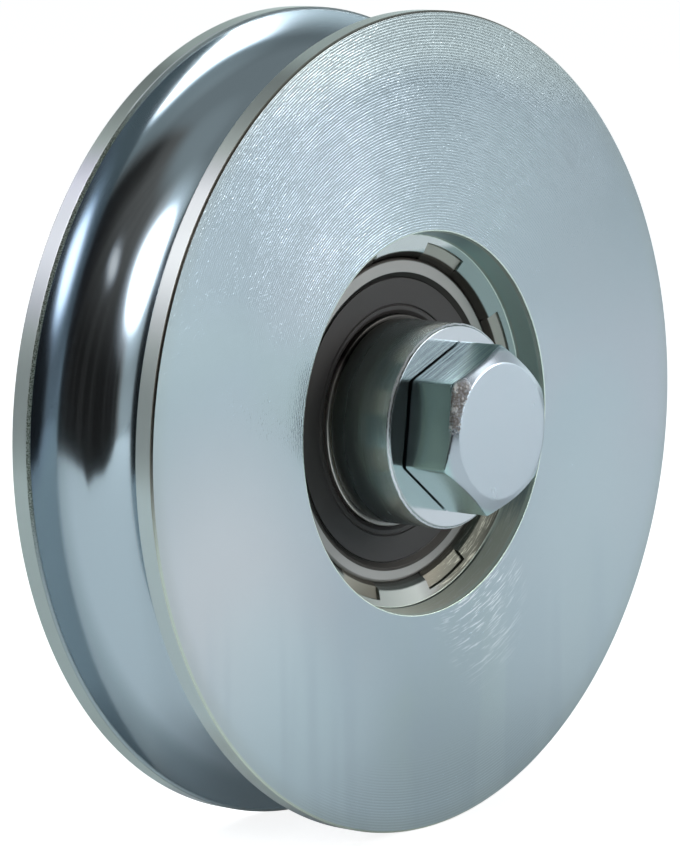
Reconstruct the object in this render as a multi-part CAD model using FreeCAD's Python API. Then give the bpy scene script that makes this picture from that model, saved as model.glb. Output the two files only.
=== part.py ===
"""Round groove wheel for a sliding gate, on one sealed ball bearing with bushes, bolt and nut.

Millimetres, +Z up. The origin is the wheel's centre, midway across its width, and the axle lies
along Y. The bolt's head is on the front, at -Y, and the nut at +Y.
"""
import FreeCAD
import Part
import math
import os

from FreeCAD import Vector

# Wheel
wheel_d = 100.0
wheel_w = 22.0
groove_r = 8.0            # runs on a round bar of twice this size
edge_break = 0.5
groove_edge_break = 0.3
recess_draft = 0.4        # how far the recess wall leans in on each side
recess_chamfer = 0.15
recess_chamfer_depth = 0.6
rear_hole_chamfer = 1.0

# Bearing, metric deep groove size
bearing_bore = 17.0
bearing_od = 40.0
bearing_w = 12.0
ball_d = 6.747
ball_count = 8
race_conformity = 0.52    # race radius as a share of the ball's diameter
race_clearance = 0.02     # between a ball and the bottom of each race
inner_land_step = 1.25    # inner ring's land, inside the pitch circle
outer_land_step = 1.65    # outer ring's land, outside the pitch circle
outer_corner_r = 0.45
inner_corner = 0.5
inner_land_chamfer = 0.25

# Seal and the groove that holds it
rim_w = 1.85              # outer ring's end face, with its corner
bevel_w = 0.70
bevel_depth = 0.50
seal_groove_undercut = 0.20
seal_groove_depth = 0.75
seal_groove_w = 0.50
seal_shelf_depth = 1.35
seal_recess = 0.30
seal_t = 0.90
seal_clearance = 0.03
seal_lip_w = 0.5
seal_lip_drop = 0.35
seal_line_offset = 1.1    # ring-shaped line in the rubber, from the seal's inner edge
seal_line_w = 0.3
seal_line_depth = 0.2
insert_t = 0.3
insert_margin_in = 0.9
insert_margin_out = 0.6

# Cage
cage_t = 0.6
cage_w = 1.9
pocket_clearance = 0.06
rivet_d = 1.2
rivet_head_d = 1.9
rivet_crown_d = 1.1
rivet_head_h = 0.4
rivet_clearance = 0.02

# Seat of the bearing in the wheel, and the stakes that hold it
seat_clearance = 0.01
shoulder_w = 1.9          # rear shoulder that the outer ring rests on
ridge_rise = 1.6          # outer edge of the lip, above the bearing's face
lip_rise = 0.85           # inner edge of the lip, above the bearing's face
lip_w = 2.84
lip_lead = 0.75           # width of the lead from lip to seat
lead_depth = 0.25         # where the lead meets the seat, below the bearing's face
stake_count = 8
stake_deg = 19.0
stake_centre_deg = 23.2
stake_depth = 0.35
stake_w = 1.6
tongue_deg = 18.4         # metal pushed inwards by a stake, a little narrower than the mark
tongue_root_w = 0.64
tongue_root_depth = 0.2   # hidden root, below the lip's surface
stake_lip_left = 0.85     # plain lip outside each stake
stake_clearance = 0.03    # between a tongue's tip and the outer ring's rounded corner
stake_tip_deg = 45.0      # where on that corner the tip points

# Bushes
bush_d = 25.0
bush_proud = 4.0          # beyond the wheel's face
bush_chamfer = 0.35
bush_base_break = 0.2
spigot_clearance = 0.01
spigot_gap = 0.1          # between the two spigots, so that they clamp the inner ring
spigot_chamfer = 0.6

# Bolt and nut, metric
bolt_d = 12.0
stud_length = 19.2        # free thread behind the nut, for the gate's bracket
bolt_clearance = 0.1
thread_pitch = 1.75
thread_deg = 60.0         # angle between a thread's two sides
pitch_line_share = 0.375  # of the sharp thread's height, from crest to pitch line
thread_crest_relief = 0.07
thread_start = 1.5        # thread begins this far inside the rear bush
bolt_end_chamfer = 1.2
hex_flats = 18.0
hex_sides = 6
head_h = 7.5
head_top_d = 16.5
head_corner_deg = 23.0
hex_chamfer_deg = 30.0
hex_trim = 2.0            # how far the trimming cone reaches past the corners
nut_h = 10.8
nut_corner_deg = 8.0
nut_countersink = 0.7
thread_clearance = 0.02

# Values that follow from the driving sizes
rim_r = wheel_d / 2
face = wheel_w / 2
bearing_face = bearing_w / 2
od_r = bearing_od / 2
bore_r = bearing_bore / 2
pitch_r = (od_r + bore_r) / 2
ball_r = ball_d / 2
race_r = race_conformity * ball_d
inner_land_r = pitch_r - inner_land_step
outer_land_r = pitch_r + outer_land_step
bush_end = face + bush_proud
shank_r = bolt_d / 2
crest_r = shank_r - thread_crest_relief
thread_h = thread_pitch / 2 / math.tan(math.radians(thread_deg / 2))
pitch_line_r = shank_r - pitch_line_share * thread_h
nut_end = bush_end + nut_h
bolt_end = nut_end + stud_length
hex_corner_r = hex_flats / 2 / math.cos(math.pi / hex_sides)

ORIGIN = Vector(0, 0, 0)
# Angles are counted from +X towards +Z
SPIN = Vector(0, -1, 0)
FRONT = -1
REAR = 1


def section_face(section, side):
    """Face in the XY plane from (radius, distance out along the axle) points.

    A point written as a pair of points is an arc: through the first, to the second.
    """
    ends = []
    for item in section:
        ends.append(item[1] if isinstance(item[0], tuple) else item)
    edges = []
    for index, item in enumerate(section):
        start = Vector(ends[index - 1][0], side * ends[index - 1][1], 0)
        end = Vector(ends[index][0], side * ends[index][1], 0)
        if isinstance(item[0], tuple):
            via = Vector(item[0][0], side * item[0][1], 0)
            edges.append(Part.Arc(start, via, end).toShape())
        else:
            edges.append(Part.LineSegment(start, end).toShape())
    return Part.Face(Part.Wire(edges))


def outward(solid):
    """The solid, turned the right way out."""
    if solid.Volume < 0:
        return solid.reversed()
    return solid


def revolved(section, side=FRONT):
    """Full turn of a section about the axle."""
    return outward(section_face(section, side).revolve(ORIGIN, SPIN, 360))


def sector(section, centre_deg, sweep_deg):
    """Part of a turn of a front section, centred on an angle."""
    profile = section_face(section, FRONT)
    profile.rotate(ORIGIN, SPIN, centre_deg - sweep_deg / 2)
    return outward(profile.revolve(ORIGIN, SPIN, sweep_deg))


def both_sides(half):
    """Closed section from its front half, mirrored about the wheel's middle plane."""
    return half + [(r, -out) for r, out in reversed(half)]


def polar(radius, degrees, y=0.0):
    """Point at a radius and angle about the axle."""
    angle = math.radians(degrees)
    return Vector(radius * math.cos(angle), y, radius * math.sin(angle))


def ball_centres():
    """Centres of the balls on the pitch circle."""
    return [polar(pitch_r, 360.0 / ball_count * index) for index in range(ball_count)]


def lip_out(radius):
    """Height of the conical lip at a radius, from the middle plane."""
    outer = od_r + lip_w
    inner = od_r + lip_lead
    share = (radius - inner) / (outer - inner)
    return bearing_face + lip_rise + share * (ridge_rise - lip_rise)


def wheel_body():
    """Turned wheel: groove, lands, recess, staked lip, bearing seat and rear shoulder."""
    floor_r = od_r + lip_w
    mouth_r = floor_r + recess_draft + recess_chamfer
    seat_r = od_r + seat_clearance
    shoulder_r = od_r - shoulder_w
    groove_half = math.sqrt(groove_r ** 2 - groove_edge_break ** 2)
    section = [
        (rim_r, face - edge_break),
        (rim_r - edge_break, face),
        (mouth_r, face),
        (mouth_r - recess_chamfer, face - recess_chamfer_depth),
        (floor_r, bearing_face + ridge_rise),
        (od_r + lip_lead, bearing_face + lip_rise),
        (seat_r, bearing_face - lead_depth),
        (seat_r, -bearing_face),
        (shoulder_r, -bearing_face),
        (shoulder_r, -face + rear_hole_chamfer),
        (shoulder_r + rear_hole_chamfer, -face),
        (rim_r - edge_break, -face),
        (rim_r, -face + edge_break),
        (rim_r, -groove_half - groove_edge_break),
        (rim_r - groove_edge_break, -groove_half),
        ((rim_r - groove_r, 0), (rim_r - groove_edge_break, groove_half)),
        (rim_r, groove_half + groove_edge_break),
    ]
    body = revolved(section)

    pocket_r = floor_r - stake_lip_left
    tongue_r = pocket_r - stake_w
    root_r = tongue_r + tongue_root_w
    over = ridge_rise
    tip_share = math.cos(math.radians(stake_tip_deg))
    tip = (outer_corner_r + stake_clearance) * tip_share - outer_corner_r
    pocket = [
        (pocket_r, lip_out(pocket_r) - stake_depth),
        (pocket_r, lip_out(pocket_r) + over),
        (tongue_r - stake_w, lip_out(tongue_r) + over),
        (tongue_r - stake_w, lip_out(tongue_r - stake_w) - stake_depth),
    ]
    tongue = [
        (tongue_r, lip_out(tongue_r) - stake_depth),
        (od_r + tip, bearing_face + tip),
        (root_r, bearing_face - lead_depth - tongue_root_depth),
        (root_r, lip_out(root_r) - stake_depth - tongue_root_depth),
    ]
    centres = [stake_centre_deg + 360.0 / stake_count * index for index in range(stake_count)]
    body = body.cut([sector(pocket, centre, stake_deg) for centre in centres])
    return body.fuse([sector(tongue, centre, tongue_deg) for centre in centres])


def bearing_outer_ring():
    """Outer ring with its race, and a groove for a seal at each end."""
    centre_r = pitch_r + ball_r + race_clearance - race_r
    race_edge = math.sqrt(race_r ** 2 - (outer_land_r - centre_r) ** 2)
    rim_in_r = od_r - rim_w
    corner = outer_corner_r * (1 - math.cos(math.pi / 4))
    half = [
        (outer_land_r, race_edge),
        (outer_land_r, bearing_face - seal_shelf_depth),
        (rim_in_r - bevel_w, bearing_face - seal_shelf_depth),
        (rim_in_r - seal_groove_undercut, bearing_face - seal_groove_depth - seal_groove_w),
        (rim_in_r - seal_groove_undercut, bearing_face - seal_groove_depth),
        (rim_in_r - bevel_w, bearing_face - bevel_depth),
        (rim_in_r, bearing_face),
        (od_r - outer_corner_r, bearing_face),
    ]
    front_corner = ((od_r - corner, bearing_face - corner), (od_r, bearing_face - outer_corner_r))
    rear_corner = ((od_r - corner, corner - bearing_face), (od_r - outer_corner_r, -bearing_face))
    rear = [(r, -out) for r, out in reversed(half)][1:]
    section = half + [front_corner, (od_r, outer_corner_r - bearing_face), rear_corner] + rear
    race = ((centre_r + race_r, 0), half[0])
    return revolved([race] + section[1:])


def bearing_inner_ring():
    """Inner ring with its race."""
    centre_r = pitch_r - ball_r - race_clearance + race_r
    race_edge = math.sqrt(race_r ** 2 - (centre_r - inner_land_r) ** 2)
    half = [
        (inner_land_r, race_edge),
        (inner_land_r, bearing_face - inner_land_chamfer),
        (inner_land_r - inner_land_chamfer, bearing_face),
        (bore_r + inner_corner, bearing_face),
        (bore_r, bearing_face - inner_corner),
    ]
    section = both_sides(half)
    race = ((centre_r - race_r, 0), section[0])
    return revolved([race] + section[1:])


def ball(centre):
    """One bearing ball."""
    return Part.makeSphere(ball_r, centre)


def rivet_places():
    """Points on the pitch circle midway between the balls."""
    step = 360.0 / ball_count
    return [polar(pitch_r, step * (index + 0.5)) for index in range(ball_count)]


def cage_half(side):
    """Pressed half of the ribbon cage: flat webs and a round pocket at each ball."""
    inner_r = pitch_r - cage_w / 2
    outer_r = pitch_r + cage_w / 2
    pocket_in_r = ball_r + pocket_clearance
    pocket_out_r = pocket_in_r + cage_t
    web = revolved([(inner_r, 0), (outer_r, 0), (outer_r, cage_t), (inner_r, cage_t)], side)
    band = revolved([(inner_r, 0), (outer_r, 0), (outer_r, bearing_face), (inner_r, bearing_face)], side)
    centres = ball_centres()
    shells = [band.common(Part.makeSphere(pocket_out_r, centre)) for centre in centres]
    half = web.fuse(shells).cut([Part.makeSphere(pocket_in_r, centre) for centre in centres])
    hole_r = rivet_d / 2 + rivet_clearance
    holes = []
    for place in rivet_places():
        start = Vector(place.x, -bearing_face, place.z)
        holes.append(Part.makeCylinder(hole_r, bearing_w, start, Vector(0, 1, 0)))
    return half.cut(holes).removeSplitter()


def cage_rivets():
    """Rivets through the cage's webs, as separate solids."""
    shank = rivet_d / 2
    head = rivet_head_d / 2
    crown = cage_t + rivet_head_h
    section = [(0, crown), (rivet_crown_d / 2, crown), (head, cage_t), (shank, cage_t)]
    rivet = revolved(both_sides(section))
    solids = []
    for place in rivet_places():
        copy = rivet.copy()
        copy.translate(place)
        solids.append(copy)
    return Part.makeCompound(solids)


def seal_values():
    """Radii and levels that the seal and its stiffener share."""
    inner_r = inner_land_r + seal_clearance
    bead_r = od_r - rim_w - seal_groove_undercut - seal_clearance
    neck_r = od_r - rim_w - bevel_w - seal_clearance
    top = bearing_face - seal_recess
    return inner_r, bead_r, neck_r, top, top - seal_t


def seal(side):
    """Rubber seal: bead in the outer ring's groove, lip close to the inner ring."""
    inner_r, bead_r, neck_r, top, bottom = seal_values()
    line_r = inner_r + seal_line_offset
    section = [
        (inner_r, bottom),
        (inner_r + insert_margin_in, bottom),
        (inner_r + insert_margin_in, bottom + insert_t),
        (neck_r - insert_margin_out, bottom + insert_t),
        (neck_r - insert_margin_out, bottom),
        (bead_r, bottom),
        (bead_r, bearing_face - seal_groove_depth - seal_clearance),
        (neck_r, bearing_face - bevel_depth - seal_clearance),
        (neck_r, top),
        (line_r + seal_line_w / 2, top),
        (line_r, top - seal_line_depth),
        (line_r - seal_line_w / 2, top),
        (inner_r + seal_lip_w, top),
        (inner_r, top - seal_lip_drop),
    ]
    return revolved(section, side)


def seal_insert(side):
    """Flat steel stiffener, flush in the seal's inner side."""
    inner_r, bead_r, neck_r, top, bottom = seal_values()
    section = [
        (inner_r + insert_margin_in, bottom),
        (neck_r - insert_margin_out, bottom),
        (neck_r - insert_margin_out, bottom + insert_t),
        (inner_r + insert_margin_in, bottom + insert_t),
    ]
    return revolved(section, side)


def bush(side):
    """Spacer bush: a spigot in the bearing's bore and a collar against the inner ring."""
    hole_r = shank_r + bolt_clearance
    spigot_r = bore_r - spigot_clearance
    collar_r = bush_d / 2
    section = [
        (hole_r, spigot_gap / 2),
        (spigot_r - spigot_chamfer, spigot_gap / 2),
        (spigot_r, spigot_gap / 2 + spigot_chamfer),
        (spigot_r, bearing_face),
        (collar_r - bush_base_break, bearing_face),
        (collar_r, bearing_face + bush_base_break),
        (collar_r, bush_end - bush_chamfer),
        (collar_r - bush_chamfer, bush_end),
        (hole_r, bush_end),
    ]
    return revolved(section, side)


def hexagon(start, height, corner_deg, side):
    """Hexagonal prism along the axle, from a level outwards."""
    step = 360.0 / hex_sides
    corners = [polar(hex_corner_r, corner_deg + step * index, side * start) for index in range(hex_sides)]
    wire = Part.makePolygon(corners + corners[:1])
    return outward(Part.Face(wire).extrude(Vector(0, side * height, 0)))


def hex_cap(start, height, side, both_ends):
    """Cone-ended round that trims a hexagon's corners."""
    wide = hex_corner_r + hex_trim
    flat_r = head_top_d / 2
    drop = (wide - flat_r) * math.tan(math.radians(hex_chamfer_deg))
    top = start + height
    section = [(0, start), (wide, start), (wide, top - drop), (flat_r, top), (0, top)]
    if both_ends:
        section[1:2] = [(flat_r, start), (wide, start + drop)]
    return revolved(section, side)


def axle_bolt():
    """Hex bolt. The nut's stretch of thread is at the pitch line, and the free end at the crest."""
    head = hexagon(bush_end, head_h, head_corner_deg, FRONT).common(hex_cap(bush_end, head_h, FRONT, False))
    thread_from = bush_end - thread_start
    shank = revolved([
        (0, -bush_end),
        (shank_r, -bush_end),
        (shank_r, thread_from - (shank_r - pitch_line_r)),
        (pitch_line_r, thread_from),
        (pitch_line_r, nut_end),
        (crest_r, nut_end),
        (crest_r, bolt_end - bolt_end_chamfer),
        (crest_r - bolt_end_chamfer, bolt_end),
        (0, bolt_end),
    ], REAR)
    return head.fuse(shank).removeSplitter()


def axle_nut():
    """Hex nut, clamped on the rear bush."""
    hole_r = pitch_line_r + thread_clearance
    wide = hole_r + nut_countersink
    body = hexagon(bush_end, nut_h, nut_corner_deg, REAR).common(hex_cap(bush_end, nut_h, REAR, True))
    hole = revolved([
        (0, bush_end),
        (wide, bush_end),
        (hole_r, bush_end + nut_countersink),
        (hole_r, nut_end - nut_countersink),
        (wide, nut_end),
        (0, nut_end),
    ], REAR)
    return body.cut(hole)


def pieces():
    """Every node's name and shape."""
    nodes = {
        "wheel_body": wheel_body(),
        "bearing_outer_ring": bearing_outer_ring(),
        "bearing_inner_ring": bearing_inner_ring(),
        "cage_front_half": cage_half(FRONT),
        "cage_rear_half": cage_half(REAR),
        "cage_rivets": cage_rivets(),
        "seal_front": seal(FRONT),
        "seal_front_insert": seal_insert(FRONT),
        "seal_rear": seal(REAR),
        "seal_rear_insert": seal_insert(REAR),
        "bush_front": bush(FRONT),
        "bush_rear": bush(REAR),
        "axle_bolt": axle_bolt(),
        "axle_nut": axle_nut(),
    }
    for index, centre in enumerate(ball_centres()):
        nodes["ball_%d" % (index + 1)] = ball(centre)
    return nodes


os.makedirs("parts", exist_ok=True)
for name, shape in pieces().items():
    print("%-20s solids %d  valid %s  volume %.1f" % (name, len(shape.Solids), shape.isValid(), shape.Volume))
    shape.exportStep("parts/%s.step" % name)
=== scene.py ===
"""Groove wheel for a sliding gate: zinc-plated wheel, sealed ball bearing, bushes, hex bolt and nut.

The part's own frame is used: the origin is the wheel's centre, the axle lies along Y with the
bolt's head at -Y, and +Z is up. Profiles are written in millimetres as (radius, distance out),
where out counts towards the bolt's head.
"""

import math

import bmesh
import bpy
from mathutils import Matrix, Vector


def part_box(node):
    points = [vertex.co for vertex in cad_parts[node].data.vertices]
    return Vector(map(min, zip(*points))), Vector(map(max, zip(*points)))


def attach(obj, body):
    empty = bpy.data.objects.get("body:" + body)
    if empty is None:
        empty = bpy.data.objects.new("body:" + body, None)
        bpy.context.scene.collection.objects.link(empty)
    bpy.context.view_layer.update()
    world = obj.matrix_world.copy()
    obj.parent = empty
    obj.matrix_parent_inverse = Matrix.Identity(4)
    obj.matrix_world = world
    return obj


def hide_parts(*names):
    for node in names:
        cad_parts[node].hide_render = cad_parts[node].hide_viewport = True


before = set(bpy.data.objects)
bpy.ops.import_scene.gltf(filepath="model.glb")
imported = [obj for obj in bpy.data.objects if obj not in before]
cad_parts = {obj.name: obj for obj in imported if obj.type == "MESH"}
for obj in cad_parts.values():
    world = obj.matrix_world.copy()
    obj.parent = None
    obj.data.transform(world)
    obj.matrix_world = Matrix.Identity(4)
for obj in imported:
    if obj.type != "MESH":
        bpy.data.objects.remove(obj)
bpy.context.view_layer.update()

bl_info = {
    "name": "Groove wheel",
    "version": (1, 0, 0),
    "blender": (4, 5, 0),
    "location": "View3D > Sidebar > Groove wheel",
    "description": "Builds a bolted groove wheel with its bearing, finishes and studio",
    "category": "Object",
}

MM = 0.001

# Sizes in millimetres that the solids share but no setting holds
PITCH_R = 14.25
BALL_R = 3.3735
RACE_PLAY = 0.02
INNER_LAND_R = 13.0
HEX_FLAT = 8.25
HEX_WIDE = 11.0
HEX_EDGE = 0.22
PITCH_LINE_R = 5.432
LIP_RISE = 0.85
STAKE_DEPTH = 0.35

# Stakes round the lip: their number, and in degrees the first one's middle, their span and their end walls
STAKES = 8
STAKE_AT = 23.2
STAKE_SPAN = 19.0
STAKE_WALL = 0.35

# Fineness of a plain turned piece
LATHE_STOPS = 32
LATHE_SECTORS = 8

# Edges that bend by more than this stay sharp
SHARP = math.radians(24.0)

# Level direction from the wheel to the camera
NEAR_X = -0.771
NEAR_Y = -0.636

WHEEL_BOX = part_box("wheel_body")
BUSH_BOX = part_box("bush_front")
BOLT_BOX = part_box("axle_bolt")
NUT_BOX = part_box("axle_nut")
RING_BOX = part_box("bearing_outer_ring")


# Settings a user would change

def length(name, description, default):
    """A setting that holds a length."""
    return bpy.props.FloatProperty(name=name, description=description, default=default, unit="LENGTH")


def paint(name, description, default):
    """A setting that holds a colour."""
    return bpy.props.FloatVectorProperty(
        name=name, description=description, default=default, size=3, min=0, max=1, subtype="COLOR")


class WheelSizes(bpy.types.PropertyGroup):
    """Sizes of the pieces, most of them taken from the solids."""

    wheel_r: length("Wheel radius", "Radius over the rims", WHEEL_BOX[1].x)
    half_w: length("Half width", "From the middle plane to a face", WHEEL_BOX[1].y)
    groove_r: length("Groove radius", "Radius of the round groove's section", 8.3 * MM)
    groove_depth: length("Groove depth", "From the rims to the groove's bottom", 8.0 * MM)
    edge_break: length("Edge break", "Chamfer at the rims", 0.26 * MM)
    recess_r: length("Recess radius", "Radius at the foot of the recess wall", 22.84 * MM)
    bearing_r: length("Bearing radius", "Outer radius of the bearing", RING_BOX[1].x)
    bearing_half_w: length("Bearing half width", "From the middle plane to the bearing's end", RING_BOX[1].y)
    bush_r: length("Bush radius", "Radius of a bush's collar", BUSH_BOX[1].x)
    bush_end: length("Bush end", "From the middle plane to a bush's outer end", -BUSH_BOX[0].y)
    shank_r: length("Shank radius", "Radius of the bolt's plain shank", 6.0 * MM)
    across_flats: length("Across flats", "Width of the bolt's head and the nut over their flats", 18.0 * MM)
    head_end: length("Head end", "From the middle plane to the top of the bolt's head", -BOLT_BOX[0].y)
    bolt_end: length("Bolt end", "From the middle plane to the bolt's free end", BOLT_BOX[1].y)
    nut_end: length("Nut end", "From the middle plane to the nut's outer end", NUT_BOX[1].y)
    thread_pitch: length("Thread pitch", "Pitch of the bolt's thread", 1.75 * MM)


class WheelFinish(bpy.types.PropertyGroup):
    """Colours of the finishes."""

    zinc: paint("Zinc", "Clear-blue zinc plating", (0.535, 0.605, 0.645))
    zinc_warm: paint("Zinc, warm tint", "Pinkish patches in the plating", (0.60, 0.595, 0.64))
    zinc_green: paint("Zinc, green tint", "Greenish tint near edges and in recesses", (0.45, 0.475, 0.44))
    bolt_zinc: paint("Bolt zinc", "Plating on the bolt and nut", (0.64, 0.67, 0.715))
    bush_zinc: paint("Bush zinc", "Plating on the bushes", (0.40, 0.49, 0.47))
    ring: paint("Ring steel", "Ground bearing steel", (0.31, 0.294, 0.275))
    ball: paint("Ball steel", "Polished bearing balls", (0.60, 0.60, 0.60))
    cage: paint("Cage steel", "Pressed sheet of the ball cage", (0.36, 0.35, 0.33))
    rubber: paint("Seal rubber", "Black nitrile seals", (0.041, 0.034, 0.031))
    stain: paint("Stain", "Brown rough patch on the bolt's head", (0.19, 0.155, 0.13))


class WheelStudio(bpy.types.PropertyGroup):
    """Camera, lamps and floor."""

    lens: bpy.props.FloatProperty(
        name="Lens", description="Focal length of the camera", default=193.8, unit="CAMERA")
    place: bpy.props.FloatVectorProperty(
        name="Camera place", description="Where the camera stands",
        default=(-0.4284, -0.3534, 0.0700), size=3, subtype="TRANSLATION")
    aim: bpy.props.FloatVectorProperty(
        name="Camera aim", description="Direction that the camera looks in",
        default=(0.7627, 0.6343, -0.1265), size=3, subtype="DIRECTION")
    left_light: bpy.props.FloatProperty(
        name="Left lamp", description="Brightness of the soft lamp on the left", default=5.7)
    right_light: bpy.props.FloatProperty(
        name="Right lamp", description="Brightness of the soft lamp on the right", default=5.6)
    floor: paint("Floor", "Colour of the pale floor", (0.74, 0.83, 0.86))


# Node trees written as sums

class Wire:
    """An output of a node, which takes part in sums."""

    def __init__(self, sheet, node, output=0):
        self.sheet = sheet
        self.node = node
        self.socket = node.outputs[output]

    def out(self, output):
        """Another output of the same node."""
        return Wire(self.sheet, self.node, output)

    def __add__(self, other):
        return self.sheet.sum("ADD", self, other)

    def __radd__(self, other):
        return self.sheet.sum("ADD", other, self)

    def __sub__(self, other):
        return self.sheet.sum("SUBTRACT", self, other)

    def __rsub__(self, other):
        return self.sheet.sum("SUBTRACT", other, self)

    def __mul__(self, other):
        return self.sheet.sum("MULTIPLY", self, other)

    def __rmul__(self, other):
        return self.sheet.sum("MULTIPLY", other, self)

    def __truediv__(self, other):
        return self.sheet.sum("DIVIDE", self, other)


class Sheet:
    """A node tree that is filled by expressions."""

    def __init__(self, tree):
        self.tree = tree

    def add(self, kind, settings=None, sockets=None, output=0):
        """A new node: its settings first, then the values or links of its sockets."""
        node = self.tree.nodes.new(kind)
        for name, value in (settings or {}).items():
            setattr(node, name, value)
        for name, value in (sockets or {}).items():
            if isinstance(value, Wire):
                self.tree.links.new(value.socket, node.inputs[name])
            else:
                node.inputs[name].default_value = value
        return Wire(self, node, output) if node.outputs else node

    def sum(self, operation, *terms):
        """A Math node on values."""
        return self.add("ShaderNodeMath", {"operation": operation}, dict(enumerate(terms)))

    def above(self, value, low, high):
        """0 below low, 1 above high, and smooth between them."""
        settings = {"interpolation_type": "SMOOTHSTEP"}
        return self.add("ShaderNodeMapRange", settings, {"Value": value, 1: low, 2: high})

    def inside(self, value, low, high, soft):
        """1 between low and high, with soft ends."""
        return self.above(value, low - soft, low) * (1 - self.above(value, high, high + soft))

    def vector(self, x, y, z):
        """A vector from three values."""
        return self.add("ShaderNodeCombineXYZ", None, {0: x, 1: y, 2: z})

    def noise(self, vector, scale, detail=2.0, roughness=0.5):
        """Grain between 0 and 1 on a vector."""
        sockets = {"Vector": vector, "Scale": scale, "Detail": detail, "Roughness": roughness}
        return self.add("ShaderNodeTexNoise", None, sockets)

    def rings(self, value, scale, detail=2.0, roughness=0.5):
        """Grain between 0 and 1 along one value."""
        sockets = {"W": value, "Scale": scale, "Detail": detail, "Roughness": roughness}
        return self.add("ShaderNodeTexNoise", {"noise_dimensions": "1D"}, sockets)

    def tint(self, share, first, second):
        """One colour going into another."""
        first = first if isinstance(first, Wire) else (*first, 1.0)
        second = second if isinstance(second, Wire) else (*second, 1.0)
        return self.add("ShaderNodeMix", {"data_type": "RGBA"}, {0: share, 6: first, 7: second}, output=2)

    def mirrored(self, path):
        """1 for light that a surface has mirrored or let through."""
        return self.sum("MAXIMUM", path.out("Is Glossy Ray"), path.out("Is Transmission Ray"))


def blank(owner):
    """The node tree of a material or world, emptied."""
    owner.use_nodes = True
    owner.node_tree.nodes.clear()
    return owner.node_tree


class Finish(Sheet):
    """A material on object coordinates, with the distance from the axle and along it."""

    def __init__(self, name, colour):
        self.material = bpy.data.materials.new(name)
        self.colour = colour
        super().__init__(blank(self.material))
        self.place = self.add("ShaderNodeTexCoord", None, None, "Object")
        apart = self.add("ShaderNodeSeparateXYZ", None, {0: self.place})
        self.x = apart * (1 / MM)
        self.z = apart.out("Z") * (1 / MM)
        self.out = apart.out("Y") * (-1 / MM)
        self.r = self.sum("SQRT", self.x * self.x + self.z * self.z)

    def apart(self, x, z):
        """Distance from a line along the axle through a point, in millimetres."""
        away = self.vector(self.x - x, self.z - z, 0.0)
        return self.add("ShaderNodeVectorMath", {"operation": "LENGTH"}, {0: away}, "Value")

    def facing(self, degrees):
        """How far a place lies from the axle towards an angle, in millimetres."""
        turn = math.radians(degrees)
        return self.x * math.cos(turn) + self.z * math.sin(turn)

    def towards(self, degrees, low, high):
        """1 where a place lies far enough towards an angle, and 0 elsewhere."""
        return self.above(self.facing(degrees), low, high)

    def turned_grain(self, around, across, along=0.0):
        """Coordinates in which grain runs round the axle."""
        return self.vector(self.x / self.r * around, self.z / self.r * around,
                           self.r * across + self.out * along)

    def coat(self, share, colour):
        """Lays a colour over the finish where share is above 0."""
        self.colour = self.tint(share, self.colour, colour)

    def finish(self, roughness, height, depth, metallic=1.0):
        """The shader in the colour so far, with a bump of height times depth, in millimetres."""
        sockets = {"Height": height, "Strength": 1.0, "Distance": depth * MM}
        bump = self.add("ShaderNodeBump", None, sockets)
        values = {"Base Color": self.colour, "Roughness": roughness, "Metallic": metallic, "Normal": bump}
        shader = self.add("ShaderNodeBsdfPrincipled", None, values)
        self.add("ShaderNodeOutputMaterial", None, {"Surface": shader})
        return self.material


# Materials

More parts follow.
